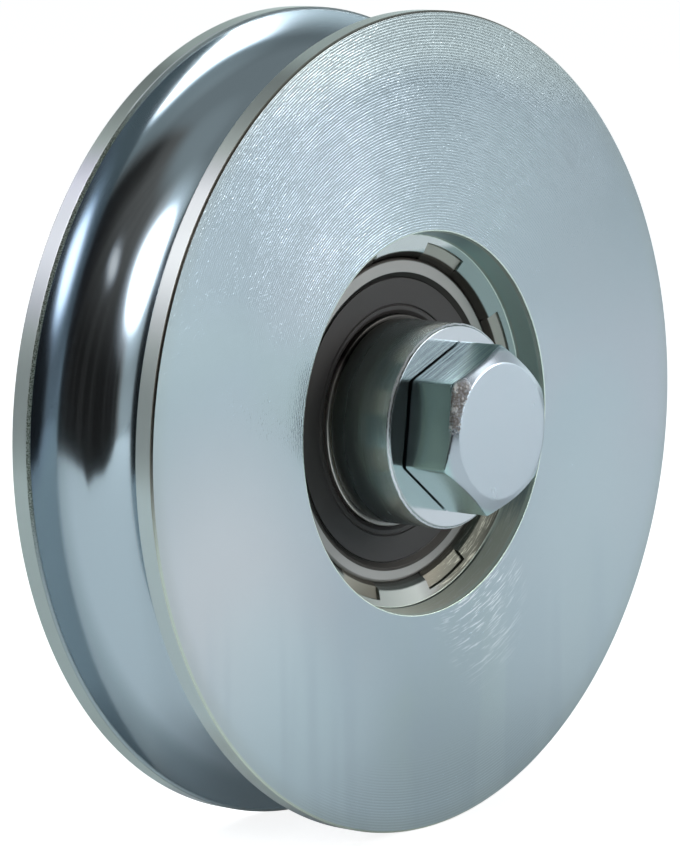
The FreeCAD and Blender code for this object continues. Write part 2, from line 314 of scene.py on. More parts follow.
def wheel_zinc(look):
    """Plating on the wheel: mirror-bright groove, satin faces with turning marks, matt stake marks."""
    mat = Finish("wheel_zinc", look.zinc)
    level = mat.sum("ABSOLUTE", mat.out)
    face = mat.above(level, 10.93, 10.99)
    land = mat.above(mat.r, 49.9, 49.97)
    groove = mat.inside(mat.r, 41.0, 49.72, 0.02) * (1 - mat.above(level, 8.4, 8.45))
    recess = (1 - mat.above(mat.r, 23.3, 23.4)) * mat.above(mat.out, 5.0, 5.5)
    lip = recess * (1 - mat.above(mat.r, 22.75, 22.85))
    wall = recess - lip
    lead = recess * (1 - mat.above(mat.r + 0.35 * mat.towards(-80, 5.0, 15.0), 20.6, 20.8))
    burr = mat.inside(mat.r, 49.6, 49.95, 0.05) * mat.inside(mat.out, -8.65, -8.2, 0.05)
    edge = mat.inside(level, 10.72, 10.985, 0.01) * mat.above(mat.r, 49.6, 49.7)
    stake = mat.add("ShaderNodeAttribute", {"attribute_name": "stake_mark"}, None, "Fac")
    stake = stake * recess * (1 - mat.above(mat.r, 21.96, 22.0))

    feed = mat.sum("FRACT", mat.r / 0.34 + mat.rings(mat.r, 0.6, 1.0) * 0.4)
    feed = mat.sum("MINIMUM", feed / 0.72, (1 - feed) / 0.28)
    patches = mat.noise(mat.turned_grain(5.0, 0.2), 1.0, 3.0, 0.6)
    grain = mat.noise(mat.turned_grain(26.0, 3.0), 1.0, 2.0, 0.6)
    flecks = mat.noise(mat.turned_grain(80.0, 4.0), 1.0, 1.0, 0.5)
    specks = mat.above(mat.noise(mat.turned_grain(75.0, 3.4), 1.0, 1.0), 0.6, 0.68)
    specks = specks * mat.above(patches, 0.42, 0.58)
    calm = (1 - mat.above(mat.r, 24.0, 31.0)) * (1 - mat.towards(110, -4.0, 10.0))
    feed = feed * (1.85 - mat.r / 45.0) * (1 - 0.8 * calm)
    marks = feed * (0.45 + 0.9 * grain + 0.6 * patches) + flecks * 1.3 + specks * 0.9
    arc = mat.sum("ARCTAN2", mat.out, 50.3 - mat.r) * 8.3
    waves = mat.rings(arc, 0.55, 2.0, 0.5) * 1.2 + mat.noise(mat.turned_grain(9.0, 0.1, 0.1), 1.0, 1.0) * 0.6
    crumbs = mat.above(mat.noise(mat.place, 6500.0, 1.0), 0.4, 0.6)
    height = marks * face + waves * groove + crumbs * burr * 3.0

    cloud = mat.noise(mat.place, 28.0, 3.0)
    mat.coat(mat.above(cloud, 0.45, 0.7) * 0.6 * face, look.zinc_warm)
    mat.coat((1 - mat.above(cloud, 0.3, 0.5)) * 0.8 * face, (0.53, 0.615, 0.60))
    # Painted shade and painted light on the face: patch by patch it is darkened towards the top and the left
    # and lightened towards the bottom.
    mat.coat(mat.towards(152, 15.0, 35.0) * 0.6 * face, (0.49, 0.55, 0.585))
    mat.coat(mat.towards(82, 3.0, 30.0) * 0.9 * face, (0.46, 0.51, 0.54))
    mat.coat(mat.towards(-85, 36.0, 50.0) * 0.8 * face, (0.75, 0.83, 0.85))
    for x, z, reach, share, colour in (
            (-38.5, -16.5, 27.0, 1.0, (0.76, 0.755, 0.775)), (-22, -39, 22.0, 0.8, (0.68, 0.77, 0.81)),
            (22, -37, 22.0, 0.7, (0.66, 0.74, 0.77)), (34, -19, 28.0, 0.7, (0.65, 0.72, 0.75)),
            (-3, 36, 14.0, 0.8, (0.41, 0.46, 0.485)), (-24, 20, 12.0, 0.7, (0.58, 0.61, 0.65)),
            (-30, 26, 15.0, 0.6, (0.47, 0.525, 0.565)),
            (-12, 33, 14.0, 0.6, (0.46, 0.505, 0.54)), (-31, -27, 15.0, 0.5, (0.72, 0.81, 0.84))):
        mat.coat((1 - mat.above(mat.apart(x, z), 3.0, reach)) * share * face, colour)
    folds = mat.above(mat.noise(mat.vector(mat.x * 0.16, mat.z * 0.012, 0.0), 1.0, 2.0), 0.45, 0.6)
    folds = folds * (1 - mat.above(mat.z, -30.0, -12.0))
    mat.coat(folds * 0.3 * face, (0.53, 0.60, 0.66))
    # Painted shade: the turning marks are drawn darker near the bottom of the face.
    turns = feed * mat.towards(-85, 36.0, 46.0) * face
    mat.coat(turns * 0.8, (0.45, 0.52, 0.55))
    scuffs = mat.above(mat.noise(mat.turned_grain(10.0, 5.0), 1.0, 2.0, 0.6), 0.55, 0.63)
    scuffs = scuffs * (1 - mat.above(mat.apart(11, -23.6) + patches * 8.0, 7.0, 15.0))
    scuffs = scuffs * mat.above(mat.out, 0, 1)
    mat.coat(scuffs * face, (0.97, 0.97, 0.98))
    # Painted light: a creamy band near the rim at the top of the face.
    top_rim_light = mat.above(mat.r, 41.0, 46.0) * mat.towards(88, 36.0, 44.0) * face
    mat.coat(top_rim_light * 0.7, (0.60, 0.645, 0.63))
    rim = mat.above(mat.r, 47.0, 50.0) * 0.3 * (1 - groove)
    mat.coat(mat.sum("MAXIMUM", rim, land), look.zinc_green)
    back = land * mat.above(0 - mat.out, 0, 1)
    # Painted reflection colour on the lands: lilac towards the left and green elsewhere. Then a painted
    # highlight at the top, painted light towards the lower left, and painted shade towards the bottom and the
    # left.
    lilac_reflection = mat.towards(150, 48.2, 49.3)
    mat.coat(back, mat.tint(lilac_reflection, (0.43, 0.465, 0.43), (0.46, 0.45, 0.49)))
    mat.coat(land * lilac_reflection * (1 - back) * 0.8, (0.475, 0.465, 0.475))
    mat.coat(land * mat.towards(101, 46.7, 49.0) * 0.9, (0.92, 1.0, 0.92))
    mat.coat(land * mat.towards(201, 46.0, 48.5) * (0.8 - 0.45 * back), (0.56, 0.62, 0.61))
    mat.coat(land * mat.towards(252, 48.6, 49.6) * 0.9, (0.25, 0.26, 0.25))
    mat.coat(land * mat.towards(163, 46.5, 48.5) * 0.55, (0.27, 0.28, 0.275))
    glint = mat.inside(mat.out, -8.8, -8.63, 0.04) * mat.towards(114, 47.8, 48.8)
    mat.coat(glint * back, (0.95, 0.97, 0.98))
    # Painted shade: the recess is coloured darker and greener than the face. Painted light on its wall
    # towards the right.
    mat.coat(recess, (0.40, 0.52, 0.53))
    mat.coat(mat.towards(25, 14.5, 21.0) * wall, (0.80, 1.0, 0.92))
    # Painted shade on the lip towards the bottom, and in a narrow band at its lower right.
    mat.coat(mat.towards(-100, 8.0, 18.0) * lip, (0.27, 0.285, 0.265))
    mat.coat(mat.above(mat.facing(-68) / mat.r, 0.965, 0.99) * lip, (0.2, 0.205, 0.195))
    # Painted shade on the groove's rear wall, darker and bluer towards the left.
    mat.coat(mat.above(0 - mat.out, 6.2, 7.6) * groove * 0.7, (0.31, 0.37, 0.40))
    navy_shade = mat.above(0 - mat.out, 6.2, 7.4) * mat.towards(160, 43.0, 46.0)
    mat.coat(navy_shade * groove * 0.6, (0.26, 0.295, 0.37))
    mat.coat(stake * 0.8, (0.47, 0.43, 0.36))
    # Painted shade: the stake marks towards the bottom are much darker.
    mat.coat(stake * mat.towards(-75, 12.0, 19.0) * 0.9, (0.095, 0.088, 0.068))
    rasped = mat.towards(160, 38.0, 46.0)
    crust = mat.tint(crumbs, (0.14, 0.16, 0.12), (0.45, 0.5, 0.45))
    mat.coat(burr * (0.3 + 0.7 * rasped), mat.tint(rasped, (0.3, 0.36, 0.37), crust))
    # The rim's chamfer is drawn dark brown towards the top, as painted shade, and light green towards the
    # bottom, as painted light.
    upper_side = mat.towards(100, -5.0, 8.0)
    mat.coat(edge * 0.8, mat.tint(upper_side, (0.68, 0.72, 0.60), (0.33, 0.30, 0.24)))
    ragged = mat.noise(mat.turned_grain(8.0, 4.0, 4.0), 1.0, 4.0, 0.7)
    shade = mat.above(mat.facing(25) + ragged * 4.0, 13.0, 20.5) * lip
    mat.coat(shade * 0.9 * (1 - stake), (0.32, 0.39, 0.37))
    # Painted highlight: the lip towards the top is drawn almost white.
    bare = mat.towards(94, 19.7, 20.7) * lip * (1 - stake)
    mat.coat(bare, (0.84, 0.86, 0.84))
    # Painted shade on the lip towards the lower right, broken by lighter streaks.
    lip_shade = mat.above(mat.facing(-40) + ragged * 4.0, 18.8, 22.3) * lip
    # The wall towards the lower right and the left is matt and pale cream with lighter streaks: partly matt
    # plating, partly painted light.
    matt = mat.above(mat.facing(-72) + ragged * 5.0, 18.0, 22.5) * wall
    matt = mat.sum("MAXIMUM", matt, mat.towards(170, 14.0, 20.0) * 0.7 * wall)
    scratch = mat.above(ragged, 0.5, 0.7)
    mat.coat(lip_shade, mat.tint(scratch, (0.08, 0.08, 0.065), (0.32, 0.315, 0.26)))
    mat.coat(matt, mat.tint(scratch, (0.86, 0.86, 0.72), (1.0, 1.0, 0.92)))
    # Painted highlights: thin light lines along the ridge at the foot of the recess wall and along the
    # recess's mouth.
    ridge = recess * mat.inside(mat.r, 22.74, 22.9, 0.04) * (1 - mat.above(mat.out, 7.9, 8.1))
    mouth = mat.inside(mat.r, 23.27, 23.52, 0.05) * mat.above(mat.out, 10.3, 10.6)
    line = mat.sum("MAXIMUM", ridge * 0.65, mouth * 0.9)
    mat.coat(line, (0.84, 0.91, 0.80))
    # Painted shade: a dark line in the corner at the foot of the recess wall, at the bottom.
    seam = recess * mat.inside(mat.r, 22.82, 22.87, 0.02) * (1 - mat.above(mat.out, 8.4, 8.6))
    mat.coat(seam * mat.towards(-85, 16.0, 20.0), (0.06, 0.06, 0.05))
    # Painted shade on the lead-in cone between the lip and the bearing, deepest towards the upper right.
    gap_shade = 0.6 + 0.4 * mat.towards(60, -8.0, 8.0)
    mat.coat(lead * gap_shade, (0.07, 0.06, 0.05))
    rough = 0.14 + face * cloud * 0.08 - groove * 0.01 + land * 0.24 + stake * 0.22 + burr * 0.3
    low = mat.towards(-85, 10.0, 18.0) * lip * (1 - stake)
    rough = rough + edge * 0.1 + lead * 0.2 + lip * 0.06 + low * 0.25 + wall * 0.2 + line * 0.1
    return mat.finish(rough, height, 0.006, 1 - matt * 0.6 - wall * 0.32)


def bush_zinc(look):
    """Plating on the turned bushes."""
    mat = Finish("bush_zinc", look.bush_zinc)
    lines = mat.rings(mat.out + mat.r * 0.93, 5.0, 4.0, 0.65)
    streaks = mat.noise(mat.turned_grain(3.0, 1.5, 1.5), 1.0, 3.0)
    cloud = mat.noise(mat.place, 120.0, 2.0)
    level = mat.sum("ABSOLUTE", mat.out)
    end = mat.above(level, 14.93, 14.99)
    edge = mat.inside(level, 14.62, 14.98, 0.03) * mat.above(mat.r, 12.0, 12.1)
    mat.coat(cloud * 0.5, look.zinc)
    root = 1 - mat.above(level, 6.2, 9.0)
    # Painted light: the bush is lighter towards its outer end.
    mat.coat(mat.above(level + cloud * 1.6, 12.4, 15.0) * 0.75, (0.82, 0.88, 0.85))
    # Painted shade at the bush's root, next to the bearing.
    mat.coat(root * 0.8, (0.1, 0.09, 0.075))
    # Painted light: the end face is lighter towards the bottom.
    lower = mat.towards(-90, 0.0, 10.0)
    mat.coat(end * 0.9, mat.tint(lower, (0.66, 0.66, 0.69), (0.84, 0.83, 0.86)))
    chips = mat.noise(mat.turned_grain(14.0, 0.5), 1.0, 3.0, 0.7)
    shine = mat.inside(level + chips * 0.3, 14.86, 14.99, 0.04) * mat.above(mat.r, 12.0, 12.1) * (1 - end)
    # Painted shade on the rounded outer edge, under the painted highlight of the shine line.
    mat.coat(edge * 0.5, (0.30, 0.35, 0.34))
    mat.coat(shine, (0.97, 0.98, 1.0))
    rough = 0.12 + 0.2 * streaks * (1 - end) + shine * 0.25 + root * 0.2
    return mat.finish(rough, (lines + streaks * 1.2) * (1 - end * 0.7), 0.007)


def bolt_zinc(look):
    """Plating on the bolt and nut, with a brown rough patch on the head's chamfer."""
    mat = Finish("bolt_zinc", look.bolt_zinc)
    skin = mat.noise(mat.place, 900.0, 3.0)
    dents = mat.noise(mat.place, 260.0, 2.0)
    crust = mat.noise(mat.place, 3200.0, 4.0, 0.8)
    along = mat.inside(mat.z + crust * 4.0 - 2.0, 1.2, 6.4, 1.0) * mat.above(0 - mat.x, 5.0, 6.5)
    patch = along * mat.inside(mat.r + crust * 2.0, 9.4, 11.2, 0.4) * mat.above(mat.out, 21.0, 21.4)
    patch = mat.above(patch * (0.2 + crust), 0.4, 0.8)
    sides = mat.above(mat.r, 8.5, 8.8) * (1 - mat.above(mat.out, 21.2, 21.8))
    mat.coat(dents * 0.5, look.zinc)
    mat.coat(sides, (0.62, 0.76, 0.76))
    brushed = mat.rings(mat.out + dents * 0.5, 3.2, 3.0, 0.65)
    sides = sides * mat.above(mat.out, 14.0, 15.0)
    # Painted shade and painted light on the head's flats: the upper flat dark blue in streaks, the left flat
    # darker and darker still towards its top, the lower-left flat lighter.
    upper = mat.towards(113, 7.8, 8.7) * sides * (0.75 * mat.above(brushed, 0.46, 0.58))
    mat.coat(upper, (0.24, 0.32, 0.38))
    left = mat.towards(173, 7.8, 8.7) * sides
    mat.coat(left * 0.8, (0.48, 0.64, 0.63))
    mat.coat(left * mat.above(mat.z + mat.out * 0.8, 14.5, 19.5) * 0.5, (0.3, 0.42, 0.44))
    mat.coat(mat.towards(-127, 7.8, 8.7) * sides * 0.5, (0.64, 0.85, 0.81))
    mat.coat(patch, mat.tint(mat.above(skin, 0.55, 0.62), look.stain, (0.7, 0.66, 0.62)))
    height = skin * 0.3 + dents + patch * skin * 5.0
    return mat.finish(0.2 + 0.1 * dents + 0.3 * patch, height, 0.008, 1 - patch * 0.6)


def ring_steel(look):
    """Ground steel of the bearing's rings."""
    mat = Finish("ring_steel", look.ring)
    lines = mat.rings(mat.r + mat.out * 0.8, 9.0, 4.0, 0.7)
    cloud = mat.noise(mat.place, 140.0, 2.0)
    mat.coat(cloud * 0.5, (0.36, 0.35, 0.335))
    level = mat.sum("ABSOLUTE", mat.out)
    # Painted shade in the groove by the seal and, deepest towards the upper right, in the gap under the
    # wheel's lip.
    inner = mat.inside(mat.r - 0.35 * mat.towards(-110, 4.0, 12.0), 17.2, 18.1, 0.06)
    inner = inner * mat.above(level, 5.2, 5.4)
    gap_shade = 0.5 + 0.5 * mat.towards(60, -8.0, 8.0)
    ring_gap_shade = mat.sum("MAXIMUM", mat.above(mat.r, 19.45, 19.65) * gap_shade, inner * 0.92)
    # Painted light on the outer ring towards the bottom.
    mat.coat(mat.towards(-95, 15.0, 19.0) * 0.13, (0.9, 0.84, 0.8))
    mat.coat(ring_gap_shade, (0.035, 0.03, 0.026))
    shade = (1 - mat.above(mat.r, 13.2, 13.4)) * mat.towards(80, -8.0, 6.0)
    mat.coat(shade, (0.06, 0.055, 0.05))
    # Painted light on the inner ring towards the left.
    low = (1 - mat.above(mat.r, 13.2, 13.4)) * mat.towards(-172, 8.0, 11.5)
    mat.coat(low, (0.7, 0.65, 0.6))
    return mat.finish(0.3 + 0.1 * cloud + 0.15 * ring_gap_shade, lines, 0.004)


def ball_steel(look):
    """Polished steel of the balls."""
    mat = Finish("ball_steel", look.ball)
    haze = mat.noise(mat.place, 700.0, 3.0)
    mat.coat(haze * 0.4, look.ring)
    return mat.finish(0.06 + 0.06 * haze, haze, 0.0006)


def cage_steel(look):
    """Pressed sheet of the cage, its rivets and the seals' stiffeners."""
    mat = Finish("cage_steel", look.cage)
    grain = mat.noise(mat.place, 800.0, 4.0, 0.65)
    mat.coat(grain * 0.6, look.ring)
    return mat.finish(0.34 + 0.16 * grain, grain, 0.006)


def seal_rubber(look):
    """Moulded black rubber with a fine grain."""
    mat = Finish("seal_rubber", look.rubber)
    grain = mat.noise(mat.place, 4200.0, 2.0)
    cloud = mat.noise(mat.place, 220.0, 3.0)
    mat.coat(cloud * 0.7, (0.062, 0.052, 0.047))
    # Painted shade: the seals are darker towards the bottom.
    mat.coat(mat.towards(-95, 9.0, 17.0) * 0.6, (0.026, 0.024, 0.023))
    return mat.finish(0.5 + 0.15 * cloud, grain + cloud, 0.012, 0.0)


FINISHES = {make.__name__: make for make in (
    wheel_zinc, bush_zinc, bolt_zinc, ring_steel, ball_steel, cage_steel, seal_rubber)}


def finish_of(slot):
    """The material of a slot, made when it is first asked for."""
    name = slot + "_finish"
    if name not in bpy.data.materials:
        FINISHES[slot](bpy.context.scene.wheel_finish).name = name
    return bpy.data.materials[name]


# Turned and hexagonal pieces

def turned_tree():
    """Node tree that turns a profile about the axle, and may stake it, cut flats or run a thread on it.

    The mesh it gets holds the plain profile's points, as many of the staked profile, and then the
    stops of one sector as (angle, share of the staked profile).
    """
    name = "Turned piece"
    if name in bpy.data.node_groups:
        return bpy.data.node_groups[name]
    tree = bpy.data.node_groups.new(name, "GeometryNodeTree")
    tree.interface.new_socket(name="Geometry", in_out="OUTPUT", socket_type="NodeSocketGeometry")
    tree.interface.new_socket(name="Geometry", in_out="INPUT", socket_type="NodeSocketGeometry")
    for label in ("Rows", "Stops", "Sectors"):
        tree.interface.new_socket(name=label, in_out="INPUT", socket_type="NodeSocketInt")
    for label in ("Start", "Across Flats", "Edge Rounding", "Thread Pitch", "Thread Depth", "Thread Start",
                  "Thread End"):
        tree.interface.new_socket(name=label, in_out="INPUT", socket_type="NodeSocketFloat")
    tree.interface.new_socket(name="Material", in_out="INPUT", socket_type="NodeSocketMaterial")

    sheet = Sheet(tree)
    given = sheet.add("NodeGroupInput")
    rows = given.out("Rows")
    stops = given.out("Stops")
    sectors = given.out("Sectors")
    points = sheet.add("GeometryNodeInputPosition")

    def point(index):
        """Coordinates of one of the given mesh's points."""
        settings = {"data_type": "FLOAT_VECTOR", "domain": "POINT"}
        sockets = {"Geometry": given.out("Geometry"), "Value": points, "Index": index}
        found = sheet.add("GeometryNodeSampleIndex", settings, sockets)
        return sheet.add("ShaderNodeSeparateXYZ", None, {0: found})

    grid = sheet.add("GeometryNodeMeshGrid", None, {
        "Size X": 1.0, "Size Y": 1.0, "Vertices X": stops * sectors + 1, "Vertices Y": rows})
    index = sheet.add("GeometryNodeInputIndex")
    column = sheet.sum("FLOOR", (index + 0.5) / rows)
    row = index - column * rows
    sector = sheet.sum("FLOOR", (column + 0.5) / stops)
    stop = point(rows * 2 + column - sector * stops)
    angle = given.out("Start") + stop + sector * (2 * math.pi) / sectors
    share = stop.out("Y")
    plain = point(row)
    staked = point(row + rows)
    radius = plain + (staked - plain) * share
    out = plain.out("Y") + (staked.out("Y") - plain.out("Y")) * share

    # Flats: the profile is cut by a prism with softened edges
    flats = given.out("Across Flats")
    soft = given.out("Edge Rounding")
    lean = sheet.sum("WRAP", angle - given.out("Start"), math.pi / 3, 0.0) - math.pi / 6
    prism = flats * 0.5 / sheet.sum("COSINE", lean)
    prism = sheet.sum("SMOOTH_MIN", prism, flats * (1 / math.sqrt(3)) - soft * 0.3, soft)
    trimmed = sheet.sum("SMOOTH_MIN", radius, prism, soft)
    is_hex = sheet.sum("GREATER_THAN", flats, 0.0) * sheet.sum("GREATER_THAN", radius, flats * 0.44)
    radius = radius + (trimmed - radius) * is_hex

    # Thread: a helical cut with flat crests and roots
    along = 0 - out
    pitch = sheet.sum("MAXIMUM", given.out("Thread Pitch"), 1e-6)
    turn = sheet.sum("FRACT", along / pitch + angle / (2 * math.pi))
    rise = sheet.sum("ABSOLUTE", turn - 0.5) * 2
    cut = sheet.add("ShaderNodeMapRange", None, {"Value": rise, 1: 0.14, 2: 0.80})
    begin = given.out("Thread Start")
    end = given.out("Thread End")
    runs = sheet.above(along, begin, begin + pitch * 0.5) * (1 - sheet.above(along, end - pitch * 0.4, end))
    radius = radius - cut * runs * given.out("Thread Depth")

    place = sheet.vector(radius * sheet.sum("COSINE", angle), 0 - out, radius * sheet.sum("SINE", angle))
    shape = sheet.add("GeometryNodeSetPosition", None, {"Geometry": grid, "Position": place})
    shape = sheet.add("GeometryNodeStoreNamedAttribute", {"data_type": "FLOAT", "domain": "POINT"}, {
        "Geometry": shape, "Name": "stake_mark", "Value": share})
    shape = sheet.add("GeometryNodeMergeByDistance", None, {"Geometry": shape, "Distance": 1e-6})
    shape = sheet.add("GeometryNodeRealizeInstances", None, {"Geometry": shape})
    shape = sheet.add("GeometryNodeSetMaterial", None, {"Geometry": shape, "Material": given.out("Material")})
    sheet.add("NodeGroupOutput", None, {"Geometry": shape})
    return tree


def rounded(corners):
    """Closed profile from (radius, out, rounding, steps) corners, with a point just before and after each."""
    points = []
    count = len(corners)
    for index, (r, out, rounding, steps) in enumerate(corners):
        here = Vector((r, out))
        if steps == 0:
            points.append(here)
            continue
        before = Vector(corners[index - 1][:2]) - here
        after = Vector(corners[(index + 1) % count][:2]) - here
        reach_in = before.length * 0.45
        reach_out = after.length * 0.45
        before.normalize()
        after.normalize()
        bend = math.pi - before.angle(after)
        reach = min(rounding * math.tan(bend / 2), reach_in, reach_out)
        if bend < 0.02 or rounding == 0:
            reach = min(0.01, reach_in, reach_out)
        extra = min(0.04, reach_in * 0.3, reach_out * 0.3)
        points.append(here + before * (reach + extra))
        start = here + before * reach
        finish = here + after * reach
        for step in range(steps + 1):
            share = step / steps
            first = start.lerp(here, share)
            second = here.lerp(finish, share)
            points.append(first.lerp(second, share))
        points.append(here + after * (reach + extra))
    points.append(points[0].copy())
    return points


def even_stops(count):
    """Stops at even steps over one sector, as shares of it."""
    return [(index / count, 0.0) for index in range(count)]


def hex_stops():
    """Stops over one flat of a hexagon, closer together at its corners."""
    shares = [0.0, 0.006, 0.014, 0.025, 0.04, 0.06, 0.09, 0.13, 0.19, 0.26, 0.34, 0.42, 0.5]
    return [(share, 0.0) for share in shares] + [(1 - share, 0.0) for share in reversed(shares[1:-1])]


def linked(name, data):
    """A new object in the scene."""
    made = bpy.data.objects.new(name, data)
    bpy.context.scene.collection.objects.link(made)
    return made


def turned(name, profile, slot, stops, sectors, start=0.0, staked=None, **sizes):
    """A turned piece as a plain mesh object, from a profile in millimetres."""
    sweep = 2 * math.pi / sectors
    points = [(p.x * MM, p.y * MM, 0.0) for p in profile]
    points += [(p.x * MM, p.y * MM, 0.0) for p in (staked or profile)]
    points += [(share * sweep, mark, 0.0) for share, mark in stops]
    mesh = bpy.data.meshes.new(name)
    mesh.from_pydata(points, [], [])
    piece = linked(name, mesh)
    tree = turned_tree()
    values = {"Rows": len(profile), "Stops": len(stops), "Sectors": sectors, "Start": start,
              "Material": finish_of(slot)}
    values.update(sizes)
    turning = piece.modifiers.new("Turning", "NODES")
    turning.node_group = tree
    for item in tree.interface.items_tree:
        if item.in_out == "INPUT" and item.name in values:
            turning[item.identifier] = values[item.name]
    return settle(piece)


def settle(piece):
    """Turns a piece's node result into its mesh, with faces outwards and smooth shading."""
    graph = bpy.context.evaluated_depsgraph_get()
    mesh = bpy.data.meshes.new_from_object(piece.evaluated_get(graph), depsgraph=graph)
    piece.modifiers.clear()
    piece.data = mesh
    mesh.name = piece.name
    work = bmesh.new()
    work.from_mesh(mesh)
    bmesh.ops.dissolve_degenerate(work, dist=1e-8, edges=work.edges)
    bmesh.ops.recalc_face_normals(work, faces=work.faces)
    work.to_mesh(mesh)
    work.free()
    mesh.shade_smooth()
    mesh.set_sharp_from_angle(angle=SHARP)
    return piece


def mount(piece, body, slot, *nodes):
    """Lets a piece ride on its body and stand for its nodes."""
    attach(piece, body)
    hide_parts(*nodes)


def lathed(name, corners, body, slot, node):
    """A plain turned piece from its corners, which rides on a body and stands for a node."""
    piece = turned(name, rounded(corners), slot, even_stops(LATHE_STOPS), LATHE_SECTORS)
    mount(piece, body, slot, node)


def flipped(corners):
    """Corners mirrored to the other side of the middle plane."""
    return [(r, -out, rounding, steps) for r, out, rounding, steps in corners]


def hex_chamfer(top, steps):
    """Profile points of a hexagon's 30-degree chamfer, from the flat top outwards."""
    points = []
    drop = (HEX_WIDE - HEX_FLAT) * math.tan(math.radians(30))
    for step in range(1, steps + 1):
        share = step / steps
        points.append((HEX_FLAT + (HEX_WIDE - HEX_FLAT) * share, top - 0.015 - drop * share))
    return points


def profile_of(*corners):
    """Corners as (radius, out, rounding, steps), where a bare pair is sharp."""
    return [corner if len(corner) == 4 else (*corner, 0.0, 0) for corner in corners]


def sizes_mm():
    """The sizes in millimetres, by name."""
    sizes = bpy.context.scene.wheel_sizes
    return {name: getattr(sizes, name) / MM for name in WheelSizes.__annotations__}


# Operators

class BuildWheel(bpy.types.Operator):
    """Wheel with its groove, lands, recess, staked lip and rear shoulder"""

    bl_idname = "groove_wheel.build_wheel"
    bl_label = "Wheel"

    def execute(self, context):
        s = sizes_mm()
        rim = s["wheel_r"]
        face = s["half_w"]
        cut = s["edge_break"]
        seat = s["bearing_r"] + 0.01
        end = s["bearing_half_w"]
        foot = s["recess_r"]
        inner = s["bearing_r"] + 0.75
        slope = 0.75 / (foot - inner)
        groove = s["groove_r"]
        small = 0.3
        rise = groove - s["groove_depth"]
        reach = math.sqrt(groove ** 2 - (rise + small) ** 2)

        def lip(r, depth=0.0):
            """Level of the conical lip at a radius."""
            return end + LIP_RISE + (r - inner) * slope - depth

        front = profile_of(
            (rim, face - cut, 0.04, 2),
            (rim - cut, face, 0.04, 2),
            (foot + 0.55, face, 0.12, 3),
            (foot + 0.40, face - 0.6, 0.3, 3),
            (foot, end + 1.6, 0.22, 4),
        )
        plain = profile_of(
            (foot - 0.84, lip(foot - 0.84), 0.0, 3),
            (foot - 0.91, lip(foot - 0.91), 0.0, 3),
            (inner, end + LIP_RISE, 0.45, 5),
            (inner - 0.4, end + 0.26, 0.0, 3),
            (seat, end - 0.25),
        )
        staked = profile_of(
            (foot - 0.84, lip(foot - 0.84), 0.05, 3),
            (foot - 0.91, lip(foot - 0.91, STAKE_DEPTH), 0.05, 3),
            (seat + 0.38, lip(seat + 0.38, STAKE_DEPTH), 0.16, 5),
            (seat - 0.121, end - 0.111, 0.06, 3),
            (seat, end - 0.35),
        )
        rear = profile_of(
            (seat, -end),
            (s["bearing_r"] - 1.9, -end, 0.1, 2),
            (s["bearing_r"] - 1.9, 1.0 - face, 0.1, 2),
            (s["bearing_r"] - 0.9, -face, 0.1, 3),
            (rim - cut, -face, 0.04, 2),
            (rim, cut - face, 0.04, 2),
            (rim, -reach - small, 0.12, 3),
        )
        arc = []
        limit = math.acos((rise + small) / groove)
        for step in range(61):
            turn = limit * (step / 30 - 1)
            arc.append((rim + rise - groove * math.cos(turn), groove * math.sin(turn), 0.0, 0))
        last = profile_of((rim, reach + small, 0.12, 3))
        stops = []
        sector = 360.0 / STAKES
        width = STAKE_SPAN / sector
        wall = STAKE_WALL / sector
        for step in range(21):
            stops.append((width * step / 20, 1.0))
        for step in range(27):
            stops.append((width + wall + (1 - width - 2 * wall) * step / 26, 0.0))
        start = math.radians(STAKE_AT - STAKE_SPAN / 2)
        wheel = turned(
            "wheel", rounded(front + plain + rear + arc + last), "wheel_zinc", stops, STAKES, start,
            rounded(front + staked + rear + arc + last))
        mount(wheel, "wheel", "wheel_zinc", "wheel_body")
        return {"FINISHED"}


class BuildRings(bpy.types.Operator):
    """Outer and inner ring of the ball bearing"""

    bl_idname = "groove_wheel.build_rings"
    bl_label = "Bearing rings"

    def execute(self, context):
        s = sizes_mm()
        od = s["bearing_r"]
        end = s["bearing_half_w"]
        bead = od - 1.85
        half = profile_of(
            (od - 4.1, end - 1.35, 0.08, 2),
            (bead - 0.7, end - 1.35),
            (bead - 0.2, end - 1.25),
            (bead - 0.2, end - 0.75),
            (bead - 0.7, end - 0.5, 0.04, 2),
            (bead, end, 0.1, 3),
            (od, end, 0.45, 6),
        )
        profile = self.race(PITCH_R + BALL_R + RACE_PLAY, -1, od - 4.1) + half + flipped(reversed(half))
        lathed("bearing_outer", profile, "wheel", "ring_steel", "bearing_outer_ring")

        half = profile_of(
            (INNER_LAND_R, end, 0.22, 3),
            (8.5, end, 0.5, 4),
        )
        profile = self.race(PITCH_R - BALL_R - RACE_PLAY, 1, INNER_LAND_R) + half + flipped(reversed(half))
        lathed("bearing_inner", profile, "axle", "ring_steel", "bearing_inner_ring")
        return {"FINISHED"}

    def race(self, bottom, side, land):
        """Ball race from the rear land to the front one, as sharp corners."""
        radius = 0.52 * (2 * BALL_R)
        centre = bottom + side * radius
        limit = math.acos(min(1.0, abs(land - centre) / radius))
        points = []
        for step in range(25):
            turn = -limit + 2 * limit * step / 24
            points.append((centre - side * radius * math.cos(turn), radius * math.sin(turn), 0.0, 0))
        return points


